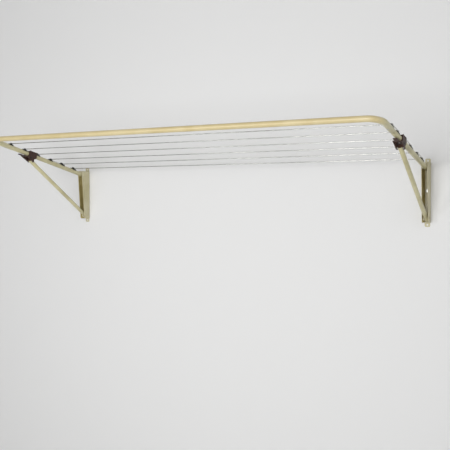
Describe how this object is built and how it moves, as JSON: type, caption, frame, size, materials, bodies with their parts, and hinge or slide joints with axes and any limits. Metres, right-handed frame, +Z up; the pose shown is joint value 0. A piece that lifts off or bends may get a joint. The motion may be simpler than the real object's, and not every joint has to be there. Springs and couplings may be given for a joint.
{
  "type": "wall mounted fold down drying rack",
  "caption": "Wall mounted drying rack: a bent tube frame strung with taut lines swings up on two channel brackets and is propped by two struts; it folds flat down the wall.",
  "frame": {"origin": "centre of the four wall holes in the bracket tabs, on the wall plane", "axes": "+X along the wall to the right as seen from the front, +Y into the wall, +Z up"},
  "size_m": [2.2124, 0.8379, 0.4762],
  "materials": {
    "cream_enamel": "semi-gloss stove enamel on steel",
    "arm_enamel": "semi-gloss stove enamel on steel",
    "brown_plastic": "moulded glass-filled nylon",
    "black_plastic": "moulded, satin",
    "nylon": "natural nylon",
    "coated_line": "PVC coated line",
    "spring_steel": "drawn wire",
    "zinc_steel": "bright zinc plate"
  },
  "bodies": {
    "wall_brackets": {"left_bracket": "cream_enamel", "left_arm_pivot_pin": "cream_enamel", "left_strut_pivot_pin": "cream_enamel", "right_bracket": "cream_enamel", "right_arm_pivot_pin": "cream_enamel", "right_strut_pivot_pin": "cream_enamel", "wall_screws": "zinc_steel", "wall_screw_washers": "zinc_steel"},
    "frame": {"front_tube": "cream_enamel", "frame_rivets": "zinc_steel", "knuckle_screws": "zinc_steel", "lever_screws": "zinc_steel", "line_turns": "coated_line", "line_ends": "coated_line", "left_arm_bushes": "nylon", "left_side_arm": "arm_enamel", "left_arm_end_plug": "black_plastic", "left_knuckle_body": "brown_plastic", "left_knuckle_cap": "brown_plastic", "left_lever_spring": "spring_steel", "right_arm_bushes": "nylon", "right_side_arm": "arm_enamel", "right_arm_end_plug": "black_plastic", "right_knuckle_body": "brown_plastic", "right_knuckle_cap": "brown_plastic", "right_lever_spring": "spring_steel", "left_line_hook_1": "black_plastic", "left_line_hook_2": "black_plastic", "left_line_hook_3": "black_plastic", "left_line_hook_4": "black_plastic", "left_line_hook_5": "black_plastic", "left_line_hook_6": "black_plastic", "right_line_hook_1": "black_plastic", "right_line_hook_2": "black_plastic", "right_line_hook_3": "black_plastic", "right_line_hook_4": "black_plastic", "right_line_hook_5": "black_plastic", "right_line_hook_6": "black_plastic", "line_run_1": "coated_line", "line_run_2": "coated_line", "line_run_3": "coated_line", "line_run_4": "coated_line", "line_run_5": "coated_line", "line_run_6": "coated_line"},
    "left_strut": {"left_strut": "arm_enamel", "left_strut_end_plugs": "brown_plastic", "left_strut_cross_pin": "zinc_steel", "left_strut_bushes": "nylon"},
    "left_lever": {"left_release_lever": "brown_plastic"},
    "right_strut": {"right_strut": "arm_enamel", "right_strut_end_plugs": "brown_plastic", "right_strut_cross_pin": "zinc_steel", "right_strut_bushes": "nylon"},
    "right_lever": {"right_release_lever": "brown_plastic"}
  },
  "joints": [
    {"name": "frame_fold", "type": "hinge", "parent": "wall_brackets", "child": "frame", "pos_m": [0, -0.061, 0.128], "axis": [1, 0, 0], "range_deg": [0, 102]},
    {"name": "left_strut_swing", "type": "hinge", "parent": "wall_brackets", "child": "left_strut", "pos_m": [-1.083, -0.026, -0.13], "axis": [1, 0, 0], "range_deg": [0, 123.08]},
    {"name": "right_strut_swing", "type": "hinge", "parent": "wall_brackets", "child": "right_strut", "pos_m": [1.083, -0.026, -0.13], "axis": [1, 0, 0], "range_deg": [0, 123.08]},
    {"name": "left_release", "type": "hinge", "parent": "frame", "child": "left_lever", "pos_m": [-1.083, -0.53663, 0.20865], "axis": [-1, 0, 0], "range_deg": [0, 3.5], "stiffness_Nm_per_rad": 1.5, "springref_deg": -2.86, "deforming": ["left_lever_spring"]},
    {"name": "right_release", "type": "hinge", "parent": "frame", "child": "right_lever", "pos_m": [1.083, -0.53663, 0.20865], "axis": [-1, 0, 0], "range_deg": [0, 3.5], "stiffness_Nm_per_rad": 1.5, "springref_deg": -2.86, "deforming": ["right_lever_spring"]}
  ],
  "couplings": [
    {"joint": "left_strut_swing", "follows": "frame_fold", "ratio": 1.2066},
    {"joint": "right_strut_swing", "follows": "frame_fold", "ratio": 1.2066}
  ]
}
